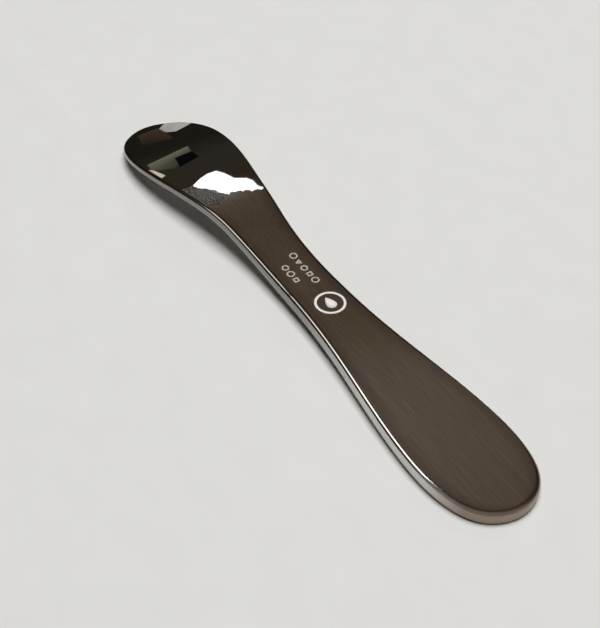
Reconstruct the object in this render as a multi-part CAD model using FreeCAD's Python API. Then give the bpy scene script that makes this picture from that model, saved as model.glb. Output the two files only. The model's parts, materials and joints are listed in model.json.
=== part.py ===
import FreeCAD, Part
import math
import os

from FreeCAD import Vector

# One-piece stainless ink knife: a flat handle lobe, a narrow waist and a round-ended spreading blade,
# blanked from one strip, cranked into a low arch and ground thinner towards the tip.
# Millimetres. X runs along the knife towards the tip, Y across it, Z up. Lying on a bench (z = 0), the
# knife touches it only under the handle's end and under the tip. The origin is on the bench, halfway.

# ---- outline of the blank ---------------------------------------------------------------------------
LENGTH = 130.0
# (distance from the handle's end, half width) where the outline turns
OUTLINE_STATIONS = [
    (2.5, 6.0),      # round of the handle's end
    (9.0, 9.05),     # shoulder of the handle
    (19.0, 9.55),    # widest part of the handle
    (36.0, 7.6),     # flank of the handle
    (50.0, 5.9),     # flank, nearing the waist
    (64.0, 5.3),     # waist
    (80.0, 5.8),     # root of the blade
    (96.0, 8.25),    # flank of the blade
    (112.0, 10.65),  # widest part of the blade
    (123.0, 9.0),    # shoulder of the blade
    (128.0, 5.0),    # round of the tip
]

# ---- side profile of the underside ------------------------------------------------------------------
STRAIGHT = 61.0          # flat run of the handle, before the first bend
RISE_RADIUS = 112.0      # hollow bend that lifts the neck
RISE_ANGLE = 10.8
CREST_RADIUS = 40.0      # tight bend over the crest of the arch
CREST_ANGLE = 12.6
BLADE_RADIUS = 160.0     # long bend that brings the blade down to the bench

# ---- thickness --------------------------------------------------------------------------------------
HANDLE_THICKNESS = 2.6
TIP_THICKNESS = 1.0      # the grind runs from the end of the straight to the tip

# ---- rounded rims -----------------------------------------------------------------------------------
TOP_RIM = 0.9
TOP_RIM_AT_TIP = 0.4
LOWER_RIM = 0.5
LOWER_RIM_AT_TIP = 0.3

# ---- raw stock and how finely it is worked ----------------------------------------------------------
OVERHANG = 5.0           # how far the raw side profile reaches past both ends
REACH = 20.0             # how far the two raw profiles are drawn out to each side
GRIND_SPACING = 8.0      # between the points that the ground top passes through
STEEPEST_REST = 6.0      # degrees: the handle rests at less slope than this
REST_TOLERANCE = 1e-9
BROAD_CLIMB = 0.5        # a broad face looks up or down by more than this, a wall by less


def heading(degrees):
    """The unit direction in the XZ plane that climbs at an angle."""
    return Vector(math.cos(math.radians(degrees)), 0, math.sin(math.radians(degrees)))


def upward(degrees):
    """The normal of a run that climbs at an angle, on its upper side."""
    return Vector(-math.sin(math.radians(degrees)), 0, math.cos(math.radians(degrees)))


class Bend:
    """A run of the underside that turns evenly from one slope to another. A small radius is a tight bend."""

    def __init__(self, start, slope, radius, turn):
        self.slope = slope
        self.turn = turn
        self.start = start
        self.reach = radius * math.copysign(1, turn)
        self.centre = start + upward(slope) * self.reach
        self.end = self.point(1.0)
        self.end_slope = slope + turn

    def point(self, part, height=0.0):
        """A point part of the way round, raised by a height square to the run."""
        across = upward(self.slope + self.turn * part)
        return self.centre - across * self.reach + across * height

    def edge(self):
        return Part.Arc(self.start, self.point(0.5), self.end).toShape()


def bends(tilt):
    """The three bends of the underside. The last one runs on past the tip by the overhang."""
    straight_end = heading(tilt) * STRAIGHT
    rise = Bend(straight_end, tilt, RISE_RADIUS, RISE_ANGLE)
    crest = Bend(rise.end, rise.end_slope, CREST_RADIUS, -CREST_ANGLE)
    to_tip = math.degrees((LENGTH + OVERHANG - crest.end.x) / BLADE_RADIUS)
    blade = Bend(crest.end, crest.end_slope, BLADE_RADIUS, -to_tip)
    return rise, crest, blade


def tip_of(blade):
    """Where the last bend passes the full length: the part of the bend, and the slope there."""
    sine = math.sin(math.radians(blade.slope)) - (LENGTH - blade.start.x) / BLADE_RADIUS
    slope = math.degrees(math.asin(sine))
    return (slope - blade.slope) / blade.turn, slope


def rim_lift(slope, radius):
    """How far a rounded lower rim lifts an end that slopes down to the bench."""
    angle = math.radians(abs(slope))
    return radius * (math.tan(angle) + 1 / math.cos(angle) - 1)


def resting_tilt():
    """The slope of the handle at which its own end and the tip touch the same bench."""
    low = 0.0
    high = STEEPEST_REST
    while high - low > REST_TOLERANCE:
        middle = (low + high) / 2
        blade = bends(middle)[2]
        part, slope = tip_of(blade)
        tip_height = blade.point(part).z + rim_lift(slope, LOWER_RIM_AT_TIP)
        if tip_height > rim_lift(middle, LOWER_RIM):
            high = middle
        else:
            low = middle
    return low


def thickness_at(x):
    """Full thickness on the handle, then an even grind to the tip."""
    ground = max(0.0, (x - STRAIGHT) / (LENGTH - STRAIGHT))
    return HANDLE_THICKNESS + (TIP_THICKNESS - HANDLE_THICKNESS) * ground


def side_profile(tilt):
    """The knife seen from the side, as a closed face in the XZ plane."""
    runs = bends(tilt)
    back = heading(tilt) * -OVERHANG
    back_top = back + upward(tilt) * HANDLE_THICKNESS
    grind_start = runs[0].point(0.0, HANDLE_THICKNESS)

    ground_points = []
    for run in runs:
        steps = max(2, round(run.edge().Length / GRIND_SPACING))
        for i in range(steps):
            x = run.point(i / steps).x
            ground_points.append(run.point(i / steps, thickness_at(x)))
    nose = runs[-1].end
    nose_top = runs[-1].point(1.0, thickness_at(nose.x))
    ground_points.append(nose_top)
    grind_slope = heading(tilt)
    ground_top = Part.BSplineCurve()
    ground_top.interpolate(Points=ground_points)
    ground_top.interpolate(Points=ground_points, InitialTangent=grind_slope,
                           FinalTangent=ground_top.tangent(ground_top.LastParameter)[0])

    edges = [Part.makeLine(back, runs[0].start)]
    edges += [run.edge() for run in runs]
    edges += [Part.makeLine(nose, nose_top), ground_top.toShape()]
    edges += [Part.makeLine(grind_start, back_top), Part.makeLine(back_top, back)]
    return Part.Face(Part.Wire(Part.__sortEdges__(edges)))


def plan_outline():
    """The outline seen from above: one smooth closed curve, alike on both sides of the centre line."""
    left = [Vector(x, y, 0) for x, y in OUTLINE_STATIONS]
    right = [Vector(x, -y, 0) for x, y in reversed(OUTLINE_STATIONS)]
    points = [Vector(0, 0, 0)] + left + [Vector(LENGTH, 0, 0)] + right
    curve = Part.BSplineCurve()
    curve.interpolate(Points=points, PeriodicFlag=True)
    tip = curve.parameter(Vector(LENGTH, 0, 0))
    halves = [curve.toShape(curve.FirstParameter, tip), curve.toShape(tip, curve.LastParameter)]
    return Part.Face(Part.Wire(halves))


def sharp_blank(tilt):
    """What the drawn-out plan outline and the drawn-out side profile share, with its rims still sharp."""
    plan = plan_outline().translated(Vector(0, 0, -REACH)).extrude(Vector(0, 0, 2 * REACH))
    side = side_profile(tilt).translated(Vector(0, -REACH, 0)).extrude(Vector(0, 2 * REACH, 0))
    return plan.common(side).Solids[0]


def rim_radius(x, full, at_tip):
    """A rim's rounding, to a whole micron: full on the handle, then less along the grind."""
    ground = min(1.0, max(0.0, (x - STRAIGHT) / (LENGTH - STRAIGHT)))
    return round(full + (at_tip - full) * ground, 3)


def climbs_of_faces(blank, edge):
    """For the two faces that meet at an edge, how far up each one looks: 1 is up, 0 is a wall, -1 is down."""
    middle = edge.valueAt((edge.FirstParameter + edge.LastParameter) / 2)
    faces = blank.ancestorsOfType(edge, Part.Face)
    return sorted((face.normalAt(*face.Surface.parameter(middle)).z for face in faces), key=abs)


def rim_roundings(blank):
    """The number and the two end radii of each rim edge. A rim is where a wall meets a broad face."""
    roundings = []
    for number, edge in enumerate(blank.Edges, start=1):
        wall, broad = climbs_of_faces(blank, edge)
        if abs(wall) > BROAD_CLIMB or abs(broad) < BROAD_CLIMB:
            continue
        full, at_tip = (TOP_RIM, TOP_RIM_AT_TIP) if broad > 0 else (LOWER_RIM, LOWER_RIM_AT_TIP)
        first = rim_radius(edge.valueAt(edge.FirstParameter).x, full, at_tip)
        last = rim_radius(edge.valueAt(edge.LastParameter).x, full, at_tip)
        roundings.append((number, first, last))
    # the fillet grows round the whole outline from its even runs, so those come first
    return sorted(roundings, key=lambda rounding: rounding[1] != rounding[2])


def round_rims(blank):
    """The blank with every rim rounded."""
    document = FreeCAD.newDocument("rims")
    sharp = document.addObject("Part::Feature", "sharp")
    sharp.Shape = blank
    rounded = document.addObject("Part::Fillet", "rounded")
    rounded.Base = sharp
    rounded.Edges = rim_roundings(blank)
    document.recompute()
    return rounded.Shape.Solids[0]


def knife():
    """The finished knife, standing on its bench with the origin halfway along."""
    tilt = resting_tilt()
    solid = round_rims(sharp_blank(tilt))
    return solid.translated(Vector(-LENGTH / 2, 0, -rim_lift(tilt, LOWER_RIM)))


body = knife()
os.makedirs("parts", exist_ok=True)
body.exportStep("parts/knife_body.step")
print("valid", body.isValid(), "faces", len(body.Faces), "volume mm3", round(body.Volume, 1))
print("box", body.BoundBox)
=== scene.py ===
# %% [markdown]
# # An ink knife of one piece of stainless steel
# A printmaker lifts and spreads ink with this small knife. It is blanked from one strip, pressed into a low
# arch, ground thinner towards the tip, brushed along its length, and polished bright on the blade.
# Everything below is fitted to that solid.

import json
import math

import bmesh
import bpy
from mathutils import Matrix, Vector

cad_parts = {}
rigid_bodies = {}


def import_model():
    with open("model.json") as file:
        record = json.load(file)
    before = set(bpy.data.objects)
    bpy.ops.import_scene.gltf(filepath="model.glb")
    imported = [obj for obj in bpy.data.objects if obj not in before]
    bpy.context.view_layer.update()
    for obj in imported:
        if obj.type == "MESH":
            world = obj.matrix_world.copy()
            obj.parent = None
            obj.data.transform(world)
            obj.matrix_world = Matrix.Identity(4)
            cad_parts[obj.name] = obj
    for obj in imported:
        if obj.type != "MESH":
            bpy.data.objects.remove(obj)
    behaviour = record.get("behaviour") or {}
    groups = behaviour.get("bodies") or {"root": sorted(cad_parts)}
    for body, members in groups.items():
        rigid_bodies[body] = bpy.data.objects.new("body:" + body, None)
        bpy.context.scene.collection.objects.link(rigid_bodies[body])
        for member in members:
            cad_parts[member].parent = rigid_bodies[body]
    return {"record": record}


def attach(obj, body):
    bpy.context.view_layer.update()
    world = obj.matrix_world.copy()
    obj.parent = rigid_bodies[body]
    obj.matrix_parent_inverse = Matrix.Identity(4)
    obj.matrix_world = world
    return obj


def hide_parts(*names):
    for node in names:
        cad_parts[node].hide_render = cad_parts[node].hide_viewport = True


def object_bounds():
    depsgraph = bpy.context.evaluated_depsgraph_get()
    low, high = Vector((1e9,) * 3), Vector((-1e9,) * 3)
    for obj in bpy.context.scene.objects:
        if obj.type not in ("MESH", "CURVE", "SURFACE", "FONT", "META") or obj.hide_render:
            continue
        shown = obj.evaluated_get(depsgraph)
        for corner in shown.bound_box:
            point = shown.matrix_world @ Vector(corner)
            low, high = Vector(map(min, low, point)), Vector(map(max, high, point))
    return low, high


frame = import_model()
MM = 0.001
cad_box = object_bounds()
CHECKS = 500  # how many steps a measurement takes along the knife
print("CAD box in mm:", [[round(side / MM, 2) for side in corner] for corner in cad_box])

# %% [markdown]
# ## The outline of the blank
# Seen from above, the knife has an egg-shaped handle, a narrow waist and a round blade. A die cuts that
# outline in one stroke, so it is one smooth curve. A few stations say where the curve turns, and a cubic
# spline runs through them. Both ends cross the centre line square, which makes the two halves meet smoothly.

# %% Driving sizes in millimetres, measured from the handle's end
LENGTH = 130.0
STATIONS = [
    (0.0, 0.0),      # handle's end, on the centre line
    (2.5, 6.0),
    (9.0, 9.05),
    (19.0, 9.55),    # widest part of the handle
    (36.0, 7.6),
    (50.0, 5.9),
    (64.0, 5.3),     # waist
    (80.0, 5.8),
    (96.0, 8.25),
    (112.0, 10.65),  # widest part of the blade
    (123.0, 9.0),
    (128.0, 5.0),
    (LENGTH, 0.0),   # tip, on the centre line
]
print(len(STATIONS), "stations along", LENGTH, "mm")


# %% A cubic spline, from the slopes that it needs at its stations
def spline_curvatures(knots, values, level_ends):
    """The second derivative at each knot. Level ends have no slope there, and the others no bend."""
    steps = [after - before for before, after in zip(knots, knots[1:])]
    rises = [(after - before) / step for before, after, step in zip(values, values[1:], steps)]
    end_weight, end_pull = (1, 1) if level_ends else (0, 0)
    below = [0.0] + [step / 6 for step in steps[:-1]] + [end_pull * steps[-1] / 6]
    middle = [steps[0] / 3] + [(a + b) / 3 for a, b in zip(steps, steps[1:])] + [steps[-1] / 3]
    above = [end_pull * steps[0] / 6] + [step / 6 for step in steps[1:]] + [0.0]
    wanted = [end_weight * rises[0]] + [b - a for a, b in zip(rises, rises[1:])] + [-end_weight * rises[-1]]
    for i in range(1, len(knots)):
        share = below[i] / middle[i - 1]
        middle[i] -= share * above[i - 1]
        wanted[i] -= share * wanted[i - 1]
    found = [wanted[-1] / middle[-1]]
    for i in reversed(range(len(knots) - 1)):
        found.insert(0, (wanted[i] - above[i] * found[0]) / middle[i])
    return found


def spline_value(knots, values, curvatures, at):
    """The spline's value and slope at one place."""
    i = max(k for k in range(len(knots) - 1) if knots[k] <= at or k == 0)
    step = knots[i + 1] - knots[i]
    left = (knots[i + 1] - at) / step
    right = 1 - left
    bend_left, bend_right = curvatures[i] * step * step / 6, curvatures[i + 1] * step * step / 6
    value = left * values[i] + right * values[i + 1]
    value += (left ** 3 - left) * bend_left + (right ** 3 - right) * bend_right
    slope = values[i + 1] - values[i] - (3 * left ** 2 - 1) * bend_left + (3 * right ** 2 - 1) * bend_right
    return value, slope / step


straight = spline_curvatures([0.0, 1.0, 2.0], [0.0, 1.0, 2.0], level_ends=False)
print("bends of three points in a line:", [round(bend, 6) for bend in straight])

# %% The half outline, walked from the handle's end to the tip
alongs = [x for x, y in STATIONS]
halves = [y for x, y in STATIONS]
walked = [0.0]
for before, after in zip(STATIONS, STATIONS[1:]):
    walked.append(walked[-1] + math.dist(before, after))
along_bends = spline_curvatures(walked, alongs, level_ends=True)
half_bends = spline_curvatures(walked, halves, level_ends=False)


def outline(distance):
    """A point of the half outline and the outward direction there, in plan."""
    x, dx = spline_value(walked, alongs, along_bends, distance)
    y, dy = spline_value(walked, halves, half_bends, distance)
    speed = math.hypot(dx, dy)
    return x, y, -dy / speed, dx / speed


widest = max(outline(walked[-1] * i / CHECKS)[1] for i in range(CHECKS + 1))
print("outline", round(walked[-1], 1), "mm long on one side, widest half", round(widest, 2), "mm")

# %% [markdown]
# ## The side profile
# The handle is flat. A hollow bend lifts the neck, a tight bend crosses the crest, and one long bend brings
# the blade down again. The knife touches the bench only at its two ends. Each bend is an arc, and along an
# arc the sine of the slope changes evenly with x, so the height comes from a short formula.

# %% Bends of the underside
STRAIGHT = 61.0
BENDS = [(112.0, 10.8), (40.0, -12.6), (160.0, -30.0)]  # radius in mm, turn in degrees; the last runs on
TILT = math.asin(frame["record"]["mounts"][0]["axis"][0])  # the resting slope of the handle's underside
HANDLE_THICKNESS = 2.6
TIP_THICKNESS = 1.0
LOWER_RIM, LOWER_RIM_AT_TIP = 0.5, 0.3
TOP_RIM, TOP_RIM_AT_TIP = 0.9, 0.4

runs = [(0.0, 0.0, TILT, 0.0)]  # where each run starts: x, z, slope, and how sharply it turns
x, z, slope = STRAIGHT * math.cos(TILT), STRAIGHT * math.sin(TILT), TILT
for radius, turn in BENDS:
    curl = math.copysign(1 / radius, turn)
    runs.append((x, z, slope, curl))
    after = slope + math.radians(turn)
    x += (math.sin(after) - math.sin(slope)) / curl
    z += (math.cos(slope) - math.cos(after)) / curl
    slope = after


def underside(at):
    """Height and slope of the underside."""
    x, z, slope, curl = max(run for run in runs if run[0] <= at or run == runs[0])
    if not curl:
        return z + (at - x) * math.tan(slope), slope
    here = math.asin(math.sin(slope) + curl * (at - x))
    return z + (math.cos(slope) - math.cos(here)) / curl, here


def ground(at):
    """How much of the grind has been done: 0 on the handle, 1 at the tip."""
    return min(1.0, max(0.0, (at - STRAIGHT) / (LENGTH - STRAIGHT)))


def upper_side(at):
    """Height of the upper side, where the thickness is measured square to the underside."""
    foot = at
    for _ in range(6):  # the foot moves a little at each try, and six tries settle it
        slope = underside(foot)[1]
        thickness = HANDLE_THICKNESS + (TIP_THICKNESS - HANDLE_THICKNESS) * ground(foot)
        foot = at + thickness * math.sin(slope)
    return underside(foot)[0] + thickness * math.cos(slope)


def steepness(height, at, reach=0.2):
    """Rise over run of a height function."""
    return (height(at + reach) - height(at - reach)) / (2 * reach)


BENCH = LOWER_RIM * (math.tan(TILT) + 1 / math.cos(TILT) - 1)  # the rounded handle end lifts the profile less
crest = max(upper_side(LENGTH * i / CHECKS) for i in range(CHECKS + 1)) - BENCH
print("crest of the upper side", round(crest, 2), "mm above the bench")

# %% [markdown]
# ## The knife's body
# A grid is a sheet of squares, and a sheet can be wrapped round a shape. Its columns walk along the outline
# and its rows go round the section: over the top, down the rounded rim, down the wall, round the lower rim
# and back below. Mirroring it closes the body. This gives even, smooth faces, which a mirror polish needs.

# %% Rows of one section
COLUMNS = 380
ACROSS = [0.0, 0.25, 0.5, 0.75, 0.93, 0.985, 1.0]  # shares of the flat part, from the centre line to the rim
RIM_STEPS = 8
LOWER_STEPS = 6


def rounded_rim(height, wall, out, radius, side, steps):
    """A rim's arc, from the broad face to the wall. side is 1 on top and -1 below."""
    tilt_out = steepness(height, wall[0]) * out[0]
    centre = height(wall[0]) - tilt_out * radius - side * radius * math.hypot(1, tilt_out)
    start = math.pi / 2 + side * math.atan(tilt_out)
    points = []
    for i in range(steps + 1):
        angle = start * (1 - i / steps)
        inward = radius * (1 - math.cos(angle))
        lift = side * radius * math.sin(angle)
        points.append((wall[0] - out[0] * inward, wall[1] - out[1] * inward, centre + lift))
    return points


def section(distance):
    """Half a section, from the centre line on top, round the edge, to the centre line below."""
    x, y, out_x, out_y = outline(distance)
    top_radius = TOP_RIM + (TOP_RIM_AT_TIP - TOP_RIM) * ground(x)
    low_radius = LOWER_RIM + (LOWER_RIM_AT_TIP - LOWER_RIM) * ground(x)
    top_arc = rounded_rim(upper_side, (x, y), (out_x, out_y), top_radius, 1, RIM_STEPS)
    low_arc = rounded_rim(lambda at: underside(at)[0], (x, y), (out_x, out_y), low_radius, -1, LOWER_STEPS)
    top_x, top_y, _ = top_arc[0]
    low_x, low_y, _ = low_arc[0]
    points = [(top_x, top_y * share, upper_side(top_x)) for share in ACROSS[:-1]]
    points += top_arc
    points += reversed(low_arc)
    points += [(low_x, low_y * share, underside(low_x)[0]) for share in reversed(ACROSS[:-1])]
    inset = [top_y * (1 - share) for share in ACROSS[:-1]]
    insets = inset + [0.0] * (len(points) - 2 * len(inset)) + inset[::-1]
    return points, insets


row_count = len(section(walked[1])[0])  # every section has as many points as this one
print("a section has", row_count, "points from the centre line on top to the one below")


# %% Wrap the grid
body_mesh = bmesh.new()
from_rim = body_mesh.verts.layers.float.new("from_rim")  # how far inside its rim a point lies, in mm
bmesh.ops.create_grid(body_mesh, x_segments=COLUMNS, y_segments=row_count - 1, size=0.5)
columns = {}
for vert in body_mesh.verts:
    columns.setdefault(round(vert.co.x, 6), []).append(vert)
for place, column in columns.items():
    points, insets = section((place + 0.5) * walked[-1])
    column.sort(key=lambda vert: vert.co.y)
    for vert, point, inset in zip(column, points, insets, strict=True):
        vert.co = Vector((point[0] - LENGTH / 2, max(0.0, point[1]), point[2] - BENCH)) * MM
        vert[from_rim] = inset
print("grid:", len(columns), "columns of", row_count, "rows")

# %% Mirror, weld and turn the faces outwards
WELD = 0.0005 * MM
bmesh.ops.mirror(body_mesh, geom=body_mesh.faces[:] + body_mesh.edges[:] + body_mesh.verts[:], axis="Y",
                 merge_dist=WELD)
bmesh.ops.remove_doubles(body_mesh, verts=body_mesh.verts, dist=WELD)
bmesh.ops.dissolve_degenerate(body_mesh, edges=body_mesh.edges, dist=WELD)
bmesh.ops.recalc_face_normals(body_mesh, faces=body_mesh.faces)
skin_top = max(vert.co.z for vert in body_mesh.verts)
ease = min(1.0, cad_box[1][2] / skin_top)  # the CAD crest is a hair lower, so the skin is eased down to it
bmesh.ops.scale(body_mesh, vec=(1.0, 1.0, ease), verts=body_mesh.verts)
open_edges = sum(not edge.is_manifold for edge in body_mesh.edges)
print("body:", len(body_mesh.faces), "faces,", open_edges, "open edges, volume in mm3",
      round(body_mesh.calc_volume() / MM ** 3, 1))


# %% Turn a bmesh into a piece of the scene
def make_piece(name, mesh, material):
    """An object at the origin with smooth faces. Its UV map lies along the knife, as the brushing does."""
    brush_map = mesh.loops.layers.uv.new("brushing")
    for face in mesh.faces:
        face.smooth = True
        for loop in face.loops:
            loop[brush_map].uv = (loop.vert.co.x / MM, loop.vert.co.y / MM)
    data = bpy.data.meshes.new(name)
    mesh.to_mesh(data)
    mesh.free()
    data.materials.append(material)
    piece = bpy.data.objects.new(name, data)
    bpy.context.collection.objects.link(piece)
    return piece


print("each piece gets the UV map brushing, laid out in millimetres")

# %% [markdown]
# ## Materials
# Every finish here is one metal worked in different ways. What the eye reads is the surface: long brush lines
# on the handle, a bright polish on the blade, and a dull frost where a mark was etched. Colours are given as
# sRGB hex values, and one function turns them into the linear values that the renderer uses. One more
# function adds any node, sets it and links it, so a material reads as a list of steps.

# %% Colours and nodes
def linear(hex_colour):
    """An sRGB hex colour as linear red, green, blue and alpha."""
    shades = [int(hex_colour[i:i + 2], 16) / 255 for i in (1, 3, 5)]
    return [c / 12.92 if c <= 0.04045 else ((c + 0.055) / 1.055) ** 2.4 for c in shades] + [1.0]


def add(tree, kind, inputs=None, **settings):
    """Adds a node. Each input is a value, an output to link from, or a node, for its first output in use."""
    made = tree.nodes.new(kind)
    for name, value in settings.items():
        setattr(made, name, value)
    in_use = [socket for socket in made.inputs if socket.enabled]
    for name, value in (inputs or {}).items():
        socket = in_use[name] if isinstance(name, int) else next(s for s in in_use if s.name == name)
        if isinstance(value, bpy.types.Node):
            value = next(output for output in value.outputs if output.enabled)
        if isinstance(value, bpy.types.NodeSocket):
            tree.links.new(value, socket)
        else:
            socket.default_value = value
    return made


def new_material(name):
    """An empty material, its tree and its shader."""
    material = bpy.data.materials.new(name)
    material.use_nodes = True
    return material, material.node_tree, material.node_tree.nodes["Principled BSDF"]


print("mid grey in linear light:", round(linear("#808080")[0], 3))

# %% [markdown]
# ### Brushed and polished stainless steel
# The blank is brushed lengthwise with a belt of about 180 grit, which leaves lines some 0.08 mm apart. The
# blade is then buffed to a mirror, and the buffing stops in a ragged line across its root. Beside that line a
# patch is only half buffed and still shows grit, whose sparkle is painted in as pale and dark specks.
# Lengthwise lines spread a reflection across the knife, so the shader is anisotropic, turned a quarter from
# the UV map's u.

# %% Sizes of the finish, in millimetres
BRUSH_LINE = 0.20        # drawn over twice as coarse as the real lines, which would not show
BRUSH_LENGTH = 22.0
SCRATCH_WIDTH, SCRATCH_LENGTH = 0.22, 9.0
SHADE_BAND, SHADE_LENGTH = 3.0, 66.0  # slow changes from pass to pass of the belt
GRIT = 0.3               # grain of the half-buffed patch
RIM_FADE = 0.12          # how far inside the flat the rounded rim's polish reaches
EDGE_SHADE = 2.2         # how far in from the rims the painted shade on the brushed top reaches
BUFFED_FROM = 91.0 - LENGTH / 2       # where the mirror starts on the centre line
HALF_BUFFED_FROM = 89.3 - LENGTH / 2
BUFF_FADE, HALF_BUFF_FADE = 0.12, 0.3
FAR_SLANT, NEAR_SLANT = 0.35, 1.45    # how far that line moves along for each mm across, on either side
FAR_REACH = -11.0                     # past the blade's far rim
NEAR_FROM, NEAR_TO = 0.8, 5.4         # where it slants on the near side
PATCH_FROM, PATCH_TO = 1.0, 2.4       # the half-buffed patch fades in across the blade
RAGGED, RAGGED_LENGTH, RAGGED_WIDTH = 2.0, 2.6, 2.0
DULL_FROM, DULL_TO = -52.0, -60.0     # the rim is duller and browner round the handle's end
RIM_SHADE_FROM, RIM_SHADE_TO = -32.0, -8.0      # and painted shade darkens it from the waist to the tip
LINE_HEIGHT, GRIT_HEIGHT = 0.004, 0.02
BRUSHED_ROUGHNESS, HALF_BUFFED_ROUGHNESS = 0.30, 0.24
BUFFED_ROUGHNESS, RIM_ROUGHNESS, SHEARED_ROUGHNESS = 0.012, 0.10, 0.30
ROUGHNESS_DRIFT, SCRATCH_ROUGHER = 0.01, 0.1
NOISE_LOW, NOISE_HIGH = 0.3, 0.7              # the values between which most of a noise lies
SCRATCH_START, SCRATCH_FULL = 0.68, 0.74      # only the rare peaks of a noise are scratches
GRIT_DARK, GRIT_BRIGHT = 0.42, 0.72
SCRATCH_COVER, EDGE_COVER = 0.5, 0.8          # how strongly a layer hides the tone below it
LINE_RELIEF, GRIT_RELIEF = 0.2, 0.6           # how strongly the relief bends a reflection


def streaks(tree, length, width, detail=2.0):
    """Noise drawn out along the knife. length and width are in millimetres."""
    stretched = add(tree, "ShaderNodeMapping", {
        "Vector": add(tree, "ShaderNodeTexCoord").outputs["Object"],
        "Scale": (1 / (length * MM), 1 / (width * MM), 1 / (width * MM))})
    return add(tree, "ShaderNodeTexNoise", {"Vector": stretched, "Scale": 1.0, "Detail": detail})


print("the mirror starts", BUFFED_FROM, "mm past the middle of the knife")

# %% The knife's steel: rims, and where the buffing starts
steel, tree, shader = new_material("brushed_and_polished_stainless_steel")
place = add(tree, "ShaderNodeSeparateXYZ", {"Vector": add(tree, "ShaderNodeTexCoord").outputs["Object"]})
along, across = place.outputs["X"], place.outputs["Y"]
inset = add(tree, "ShaderNodeAttribute", attribute_name="from_rim").outputs["Fac"]
rim = add(tree, "ShaderNodeMapRange", {"Value": inset, "From Min": RIM_FADE, "From Max": 0.0})
# mask for painted shade: the brushed top is drawn darker and purplish near its rims
edge = add(tree, "ShaderNodeMapRange", {"Value": inset, "From Min": EDGE_SHADE, "From Max": 0.0})
dull = add(tree, "ShaderNodeMapRange", {
    "Value": along, "From Min": DULL_FROM * MM, "From Max": DULL_TO * MM})
# where the rim's painted shade grows, from the waist to the tip
rim_shade_along = add(tree, "ShaderNodeMapRange", {
    "Value": along, "From Min": RIM_SHADE_FROM * MM, "From Max": RIM_SHADE_TO * MM})

wander = add(tree, "ShaderNodeMapRange", {
    "Value": streaks(tree, RAGGED_LENGTH, RAGGED_WIDTH, 6.0), "To Min": -RAGGED * MM, "To Max": RAGGED * MM})
wandering = add(tree, "ShaderNodeMath", {0: along, 1: wander}, operation="ADD")
far_shift = add(tree, "ShaderNodeMapRange", {
    "Value": across, "From Min": FAR_REACH * MM, "From Max": 0.0,
    "To Min": FAR_REACH * FAR_SLANT * MM, "To Max": 0.0})
near_shift = add(tree, "ShaderNodeMapRange", {
    "Value": across, "From Min": NEAR_FROM * MM, "From Max": NEAR_TO * MM,
    "To Max": (NEAR_TO - NEAR_FROM) * NEAR_SLANT * MM})
slant = add(tree, "ShaderNodeMath", {0: far_shift, 1: near_shift}, operation="ADD")
past_line = add(tree, "ShaderNodeMath", {0: wandering, 1: slant}, operation="SUBTRACT")
buffed = add(tree, "ShaderNodeMapRange", {
    "Value": past_line, "From Min": (BUFFED_FROM - BUFF_FADE) * MM,
    "From Max": (BUFFED_FROM + BUFF_FADE) * MM})
past_patch = add(tree, "ShaderNodeMapRange", {
    "Value": wandering, "From Min": (HALF_BUFFED_FROM - HALF_BUFF_FADE) * MM,
    "From Max": (HALF_BUFFED_FROM + HALF_BUFF_FADE) * MM})
on_near_side = add(tree, "ShaderNodeMapRange", {
    "Value": across, "From Min": PATCH_FROM * MM, "From Max": PATCH_TO * MM})
half_buffed = add(tree, "ShaderNodeMath", {0: past_patch, 1: on_near_side}, operation="MULTIPLY")
bright = add(tree, "ShaderNodeMath", {0: buffed, 1: rim}, operation="MAXIMUM")
unbuffed = add(tree, "ShaderNodeMath", {0: 1.0, 1: bright}, operation="SUBTRACT")
print("buffing placed with", len(tree.nodes), "nodes")

# %% The knife's steel: brush lines, scratches and roughness
fine = streaks(tree, BRUSH_LENGTH, BRUSH_LINE)
broad = streaks(tree, SHADE_LENGTH, SHADE_BAND)
grit = streaks(tree, GRIT, GRIT, 3.0)
scratches = add(tree, "ShaderNodeMapRange", {
    "Value": streaks(tree, SCRATCH_LENGTH, SCRATCH_WIDTH, 1.0), "From Min": SCRATCH_START,
    "From Max": SCRATCH_FULL})
rough = add(tree, "ShaderNodeMath", {0: scratches, 1: SCRATCH_ROUGHER, 2: BRUSHED_ROUGHNESS},
            operation="MULTIPLY_ADD")
for lines in (fine, broad):
    drift = add(tree, "ShaderNodeMapRange", {
        "Value": lines, "From Min": NOISE_LOW, "From Max": NOISE_HIGH,
        "To Min": -ROUGHNESS_DRIFT, "To Max": ROUGHNESS_DRIFT})
    rough = add(tree, "ShaderNodeMath", {0: rough, 1: drift}, operation="ADD")
rim_rough = add(tree, "ShaderNodeMix", {"Factor": dull, "A": RIM_ROUGHNESS, "B": SHEARED_ROUGHNESS})
for cover, roughness in [(half_buffed, HALF_BUFFED_ROUGHNESS), (buffed, BUFFED_ROUGHNESS), (rim, rim_rough)]:
    rough = add(tree, "ShaderNodeMix", {"Factor": cover, "A": rough, "B": roughness})
print("roughness from", BUFFED_ROUGHNESS, "on the blade to", BRUSHED_ROUGHNESS, "on the handle")

# %% The knife's steel: tones, from the brushed ground up
line_depth = add(tree, "ShaderNodeMapRange", {
    "Value": fine, "From Min": NOISE_LOW, "From Max": NOISE_HIGH})
# the grit is real; its pale and dark specks in the tone are painted sparkle
grit_depth = add(tree, "ShaderNodeMapRange", {"Value": grit, "From Min": GRIT_DARK, "From Max": GRIT_BRIGHT})
grit_sparkle_tone = add(tree, "ShaderNodeMix", {
    "Factor": grit_depth, "A": linear("#5C5C5E"), "B": linear("#F0F0EE")}, data_type="RGBA")
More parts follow.
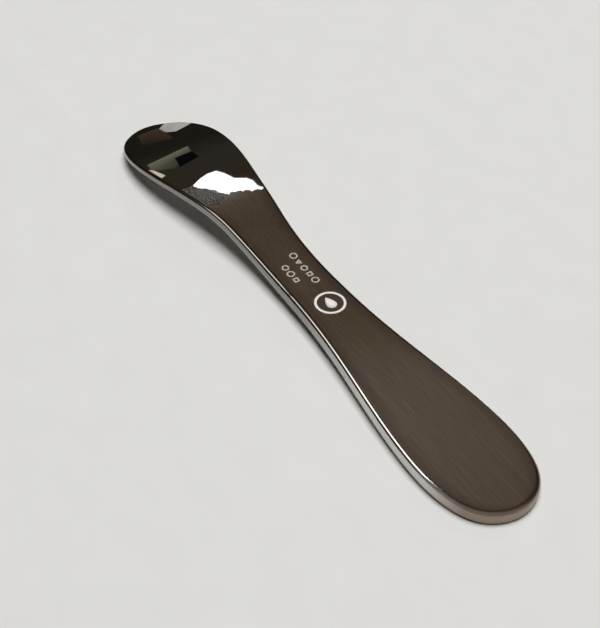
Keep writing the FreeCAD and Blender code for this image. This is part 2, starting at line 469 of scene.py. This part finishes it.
# the scratches are real marks; their pale tone is a painted highlight, the glint that a scratch catches
glinting_scratches = add(tree, "ShaderNodeMath", {0: scratches, 1: SCRATCH_COVER}, operation="MULTIPLY")
still_brushed = add(tree, "ShaderNodeMath", {0: 1.0, 1: half_buffed}, operation="SUBTRACT")
# painted shade along the rims of the brushed top, left off the half-buffed patch
brushed_edge_shade = add(tree, "ShaderNodeMath", {0: edge, 1: still_brushed}, operation="MULTIPLY")
shaded_edge = add(tree, "ShaderNodeMath", {0: brushed_edge_shade, 1: EDGE_COVER}, operation="MULTIPLY")
# painted shade: the rim is drawn darker from the waist to the tip
shaded_rim = add(tree, "ShaderNodeMath", {0: rim, 1: rim_shade_along}, operation="MULTIPLY")
dull_rim = add(tree, "ShaderNodeMath", {0: rim, 1: dull}, operation="MULTIPLY")
tone = linear("#B7B1A9")
for cover, colour in [(line_depth, linear("#CDC9C2")), (glinting_scratches, linear("#F0EADF")),
                      (shaded_edge, linear("#A59A9A")), (half_buffed, grit_sparkle_tone),
                      (bright, linear("#C8C5C2")), (shaded_rim, linear("#8C8885")),
                      (dull_rim, linear("#94857A"))]:
    tone = add(tree, "ShaderNodeMix", {"Factor": cover, "A": tone, "B": colour}, data_type="RGBA")
print("steel now has", len(tree.nodes), "nodes")

# %% The knife's steel: fine relief, and the shader
line_relief = add(tree, "ShaderNodeMath", {0: unbuffed, 1: LINE_RELIEF}, operation="MULTIPLY")
lined = add(tree, "ShaderNodeBump", {
    "Height": fine, "Strength": line_relief, "Distance": LINE_HEIGHT * MM})
gritty_part = add(tree, "ShaderNodeMath", {0: unbuffed, 1: half_buffed}, operation="MULTIPLY")
grit_relief = add(tree, "ShaderNodeMath", {0: gritty_part, 1: GRIT_RELIEF}, operation="MULTIPLY")
gritty = add(tree, "ShaderNodeBump", {
    "Height": grit, "Strength": grit_relief, "Distance": GRIT_HEIGHT * MM, "Normal": lined})
tangent = add(tree, "ShaderNodeTangent", direction_type="UV_MAP", uv_map="brushing")
for socket, node in {"Base Color": tone, "Roughness": rough, "Normal": gritty, "Tangent": tangent}.items():
    tree.links.new(next(output for output in node.outputs if output.enabled), shader.inputs[socket])
shader.inputs["Metallic"].default_value = 1.0
shader.inputs["Anisotropic"].default_value = 0.5
shader.inputs["Anisotropic Rotation"].default_value = 0.25

knife = make_piece("knife", body_mesh, steel)
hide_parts("knife_body")
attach(knife, "root")
print("knife made of", len(knife.data.polygons), "faces")

# %% [markdown]
# ## Marks
# Such a knife is stamped and etched by its maker. These marks are invented: two rows of small punched
# outlines, and a ring with a drop of ink. A stamp throws up a burr, whose glint is painted in as a pale tone,
# and an etched mark is a white frosted skin, so both are thin shapes laid on the curved steel, a few
# hundredths of a millimetre proud.
# A painted texture would be flat, and real engraving would cost thousands of faces that no one sees.

# %% Lay a flat shape on the upper side
MARK_HEIGHT = 0.02
MARK_SINK = 0.03


def lay_on_knife(mesh, centre, turn=0.0):
    """Turns and moves a flat shape, gives it a thin body, and bends it onto the upper side."""
    top = bmesh.ops.extrude_face_region(mesh, geom=mesh.faces[:])["geom"]
    raised = {vert for vert in top if isinstance(vert, bmesh.types.BMVert)}
    for vert in mesh.verts:
        x = centre[0] + vert.co.x * math.cos(turn) - vert.co.y * math.sin(turn)
        y = centre[1] + vert.co.x * math.sin(turn) + vert.co.y * math.cos(turn)
        lift = MARK_HEIGHT if vert in raised else -MARK_SINK
        vert.co = Vector((x - LENGTH / 2, y, upper_side(x) - BENCH + lift)) * MM
    bmesh.ops.recalc_face_normals(mesh, faces=mesh.faces)


def outlined(corners, radius, line):
    """A flat ring: a regular shape with its middle cut out."""
    mesh = bmesh.new()
    bmesh.ops.create_circle(mesh, cap_ends=True, segments=corners, radius=radius)
    middle = mesh.faces[:]
    bmesh.ops.inset_region(mesh, faces=middle, thickness=line, use_boundary=True, use_even_offset=True)
    bmesh.ops.delete(mesh, geom=middle, context="FACES_ONLY")
    return mesh


def add_mark(name, mesh, material):
    """A mark is part of the same steel."""
    piece = make_piece(name, mesh, material)
    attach(piece, "root")


print("marks stand", MARK_HEIGHT, "mm proud of the steel")

# %% [markdown]
# ### Stamped burr and laser frost
# A punch pushes up a thin ragged lip that catches light from every side; that glint is painted in as a pale
# tone, only partly metallic. A laser etch leaves a matt oxide skin, which is white and scatters light as
# chalk does. Fine noise breaks both up, as no burr or frost is even.

# %% Stamped burr and etched frost
BURR_GRAIN, FROST_GRAIN = 0.5, 0.25
burr, tree, shader = new_material("stamped_burr_with_painted_glint")
burr_speckle = streaks(tree, BURR_GRAIN, BURR_GRAIN, 3.0)
# painted highlight: the burr's pale tone stands in for the glint of its raised lip
burr_glint_tone = add(tree, "ShaderNodeMix", {
    "Factor": burr_speckle, "A": linear("#A8A096"), "B": linear("#F4F0E9")}, data_type="RGBA")
burr_speckle_roughness = add(tree, "ShaderNodeMapRange", {
    "Value": burr_speckle, "From Min": NOISE_LOW, "From Max": NOISE_HIGH, "To Min": 0.3, "To Max": 0.6})
tree.links.new(burr_glint_tone.outputs[2], shader.inputs["Base Color"])
tree.links.new(burr_speckle_roughness.outputs[0], shader.inputs["Roughness"])
shader.inputs["Metallic"].default_value = 0.2

frost, tree, shader = new_material("laser_frosted_stainless")
speckle = streaks(tree, FROST_GRAIN, FROST_GRAIN)
frost_tone = add(tree, "ShaderNodeMix", {
    "Factor": speckle, "A": linear("#E8E7E4"), "B": linear("#FFFFFF")}, data_type="RGBA")
frost_rough = add(tree, "ShaderNodeMapRange", {
    "Value": speckle, "From Min": NOISE_LOW, "From Max": NOISE_HIGH, "To Min": 0.7, "To Max": 0.85})
tree.links.new(frost_tone.outputs[2], shader.inputs["Base Color"])
tree.links.new(frost_rough.outputs[0], shader.inputs["Roughness"])
print("mark finishes:", burr.name, "and", frost.name)

# %% Two rows of punches
PUNCH_RADIUS, PUNCH_LINE, PUNCH_STEP = 0.82, 0.27, 1.95
ROUND = 24
ROWS = {"far": (62.4, -1.4, (ROUND, 4, 6, 3, ROUND)), "near": (64.2, 1.7, (4, ROUND, 6))}  # x, y, corners
for row, (start, y, shapes) in ROWS.items():
    for i, corners in enumerate(shapes):
        punch = outlined(corners, PUNCH_RADIUS, PUNCH_LINE)
        lay_on_knife(punch, (start + i * PUNCH_STEP, y), math.pi / 4 if corners == 4 else 0.0)
        add_mark(f"stamp_{row}_{i + 1}", punch, burr)
print("punches:", sum(len(shapes) for _, _, shapes in ROWS.values()))

# %% A ring with a drop of ink
RING_CENTRE, RING_RADIUS, RING_LINE = (55.6, -0.3), 3.0, 0.5
ring = outlined(48, RING_RADIUS, RING_LINE)
lay_on_knife(ring, RING_CENTRE)
add_mark("etched_ring", ring, frost)

DROP_RADIUS, DROP_POINT, DROP_TAPER, DROP_SHIFT = 1.0, 2.1, 0.3, -0.5
drop = bmesh.new()
bmesh.ops.create_circle(drop, cap_ends=True, segments=32, radius=DROP_RADIUS)
for vert in drop.verts:
    if vert.co.x > 0:
        narrowed = vert.co.y * (1 - vert.co.x / DROP_RADIUS) ** DROP_TAPER
        vert.co = Vector((vert.co.x * DROP_POINT, narrowed, 0.0))
lay_on_knife(drop, (RING_CENTRE[0] + DROP_SHIFT, RING_CENTRE[1]))
add_mark("etched_drop", drop, frost)
print("ring", 2 * RING_RADIUS, "mm across, with its drop")

# %% [markdown]
# ## The studio
# A camera looks down along the knife from beyond its handle. Below it lies a pale matt board, large enough
# to fill the view from any side.

# %% Aim and camera
AIM = Vector((-5.27, 3.69, 0.0)) * MM
CAMERA_AZIMUTH, CAMERA_ELEVATION = 147.83, 42.0
CAMERA_DISTANCE = 234.3 * MM
SENSOR, LENS = 36.0, 71.656


def direction(azimuth, elevation):
    """A unit vector. Azimuth is counted from +X towards +Y, in degrees."""
    turn, rise = math.radians(azimuth), math.radians(elevation)
    return Vector((math.cos(turn) * math.cos(rise), math.sin(turn) * math.cos(rise), math.sin(rise)))


camera_data = bpy.data.cameras.new("camera")
camera_data.sensor_width = SENSOR
camera_data.lens = LENS
camera_data.clip_start = 0.01
camera = bpy.data.objects.new("camera", camera_data)
camera.location = AIM + direction(CAMERA_AZIMUTH, CAMERA_ELEVATION) * CAMERA_DISTANCE
camera.rotation_euler = (AIM - camera.location).to_track_quat("-Z", "Y").to_euler()
bpy.context.collection.objects.link(camera)
bpy.context.scene.camera = camera
bpy.context.scene.view_settings.view_transform = "Standard"
print("camera at, mm:", [round(c / MM, 1) for c in camera.location])

# %% Floor
FLOOR_SIZE = 6.0
MOTTLE_LENGTH, MOTTLE_WIDTH = 9.0, 7.0
paper, tree, shader = new_material("matt_white_board")
mottle = streaks(tree, MOTTLE_LENGTH, MOTTLE_WIDTH, detail=4.0)
shade = add(tree, "ShaderNodeMix", {
    "Factor": mottle, "A": linear("#DEDFDE"), "B": linear("#E5E6E5")}, data_type="RGBA")
tree.links.new(shade.outputs[2], shader.inputs["Base Color"])
shader.inputs["Roughness"].default_value = 0.9
shader.inputs["Specular IOR Level"].default_value = 0.1
floor_mesh = bmesh.new()
bmesh.ops.create_grid(floor_mesh, x_segments=1, y_segments=1, size=FLOOR_SIZE / 2)
floor = make_piece("floor", floor_mesh, paper)
print("board", FLOOR_SIZE, "m square")

# %% [markdown]
# ### Lights for the board
# A wide panel overhead lights the board evenly and keeps the shadow close and soft, and a low fill draws it
# a little to one side. Polished steel would show each lamp as a glaring disc, so the lights are hidden from
# reflections, and the cards below stand in for them there.

# %% Lights
def soft_light(name, azimuth, elevation, distance, size, power, colour="#FFFFFF"):
    """A round area light that looks at the knife and stays out of reflections. Power is in watts."""
    data = bpy.data.lights.new(name, "AREA")
    data.shape = "DISK"
    data.size = size
    data.energy = power
    data.color = linear(colour)[:3]
    light = bpy.data.objects.new(name, data)
    light.location = direction(azimuth, elevation) * distance
    light.rotation_euler = (-light.location).to_track_quat("-Z", "Y").to_euler()
    light.visible_glossy = False
    bpy.context.collection.objects.link(light)


soft_light("ceiling_panel", -77, 86, 2.0, 1.4, 39.4, "#FFFDFB")
soft_light("window_fill", -60, 35, 2.0, 0.6, 2.5)
print("lights:", [light.name for light in bpy.data.lights])

# %% [markdown]
# ### Cards for the steel
# Polished metal shows nothing but what stands round it, so the room matters as much as the light. Studios
# set up glowing cards for that. A few far ones stand where the curved blade looks: a lamp, a wall with a
# doorway, a bench and a shelf. Two near ones draw the bright line on the near rim and lift the handle.

# %% Cards
BLADE = Vector((45.0, 0.0, 5.0)) * MM


def card(name, corners, colour, strength=1.0):
    """A glowing card seen only in reflections. A corner is a place and its share of the glow."""
    mesh = bmesh.new()
    share = mesh.verts.layers.float.new("share")
    for spot, glow in corners:
        corner = mesh.verts.new(spot)
        corner[share] = glow
    mesh.faces.new(mesh.verts[:])
    bmesh.ops.triangulate(mesh, faces=mesh.faces)
    material, tree, shader = new_material(name + "_glow")
    tree.nodes.remove(shader)
    glow = add(tree, "ShaderNodeAttribute", attribute_name="share").outputs["Fac"]
    dimmed = add(tree, "ShaderNodeMath", {0: glow, 1: strength}, operation="MULTIPLY")
    lit = add(tree, "ShaderNodeEmission", {"Color": linear(colour), "Strength": dimmed})
    tree.links.new(lit.outputs["Emission"], tree.nodes["Material Output"].inputs["Surface"])
    piece = make_piece(name, mesh, material)
    piece.visible_camera = False
    piece.visible_diffuse = False
    piece.visible_shadow = False


def far_card(name, corners, colour, strength=1.0, distance=4.0):
    """A card across the room. A corner is azimuth, elevation and its share of the glow."""
    spots = [(BLADE + direction(azimuth, elevation) * distance, glow) for azimuth, elevation, glow in corners]
    card(name, spots, colour, strength)


def near_card(name, height, corners, colour, strength=1.0):
    """A level card over the knife. A corner is x and y in millimetres and its share of the glow."""
    card(name, [(Vector((x, y, height)) * MM, glow) for x, y, glow in corners], colour, strength)


far_card("lamp", [(-23.9, 28.4, 1), (-24.1, 27.2, 1), (-24.4, 26.5, 1), (-24.9, 26.4, 1), (-25.6, 27.7, 1),
                  (-26.6, 29.8, 1), (-27.6, 30.8, 1), (-28.2, 31.8, 1), (-30.4, 36.5, 1), (-31.2, 38.6, 1),
                  (-28.0, 34.0, 1), (-27.5, 34.8, 1), (-25.8, 31.4, 1), (-24.2, 29.4, 1)], "#FFFFFF", 2.0)
far_card("far_wall", [(-20.2, 18.2, 1), (-22.2, 16.3, 1), (-22.6, 18.6, 0.35), (-22.0, 22.0, 0.3),
                      (-20.6, 20.6, 0.6)], "#7C7B6B")
far_card("doorway", [(-21.7, 18.8, 1), (-22.6, 18.4, 1), (-23.2, 20.8, 1), (-22.3, 22.1, 1)],
         "#0E0E12", 1.0, 3.8)
far_card("small_lamp", [(-20.3, 19.8, 0.6), (-20.7, 20.6, 1), (-21.6, 23.2, 1), (-21.4, 23.8, 0.8)],
         "#E9DDC9", 1.2, 3.7)
far_card("far_bench", [(-20.3, 6.9, 0.6), (-20.6, 5.2, 1), (-21.3, 5.0, 1), (-22.6, 7.0, 1), (-22.0, 8.6, 1),
                       (-21.7, 9.1, 1), (-21.3, 9.7, 1), (-20.8, 8.9, 0.8)], "#CBCAC6")
far_card("brown_shelf", [(-19.3, 6.5, 1), (-20.3, 6.0, 1), (-20.9, 9.8, 0.8), (-21.2, 12.0, 0.6),
                         (-19.6, 11.0, 0.4)], "#4A3D30")
near_card("side_softbox", 200.0, [(17, 50, 1), (150, 50, 1), (217, 180, 1), (60, 180, 1)], "#FFFFFF", 2.4)
near_card("handle_fill", 60.0, [(-75, -75, 0.4), (14, -75, 0.75), (14, -5, 1), (-75, -5, 0.55)], "#786B5E")
print("glowing cards:", sum("_glow" in material.name for material in bpy.data.materials))

# %% [markdown]
# ### The room
# Behind the cards the room is a dark, warm gradient that changes with height, and turns to a soft grey on the
# camera's own side, so the knife reads as steel from there too. The camera itself sees a pale backdrop.

# %% The room
ROOM_SHADES = [(0.0, "#22201B"), (0.25, "#23211C"), (0.36, "#33322C"), (0.5, "#3A3127"), (0.6, "#463A2E"),
               (0.73, "#63533F"), (0.83, "#403427"), (0.95, "#1E1813")]  # height of the view, and colour
BRIGHT_SIDE = (-0.85, 0.5, 0.0)
BRIGHT_FROM, BRIGHT_TO = -0.1, 0.3
world = bpy.data.worlds.new("dim room")
bpy.context.scene.world = world
world.use_nodes = True
tree = world.node_tree
heading = add(tree, "ShaderNodeTexCoord").outputs["Generated"]
skyward = add(tree, "ShaderNodeSeparateXYZ", {"Vector": heading}).outputs["Z"]
room = add(tree, "ShaderNodeValToRGB", {"Fac": skyward})
shades = room.color_ramp.elements
while len(shades) < len(ROOM_SHADES):
    shades.new(1.0)
for shade, (rise, colour) in zip(shades, ROOM_SHADES):
    shade.position = rise
    shade.color = linear(colour)
towards = add(tree, "ShaderNodeVectorMath", {0: heading, 1: BRIGHT_SIDE}, operation="DOT_PRODUCT")
bright_side = add(tree, "ShaderNodeMapRange", {
    "Value": towards.outputs["Value"], "From Min": BRIGHT_FROM, "From Max": BRIGHT_TO})
paths = add(tree, "ShaderNodeLightPath")
seen = room
for share, colour in [(bright_side, "#A9A39B"), (paths.outputs["Is Diffuse Ray"], "#1C1B19"),
                      (paths.outputs["Is Camera Ray"], "#DDDBD7")]:
    seen = add(tree, "ShaderNodeMix", {"Factor": share, "A": seen, "B": linear(colour)}, data_type="RGBA")
tree.links.new(seen.outputs[2], tree.nodes["Background"].inputs["Color"])
print("room of", len(ROOM_SHADES), "shades")
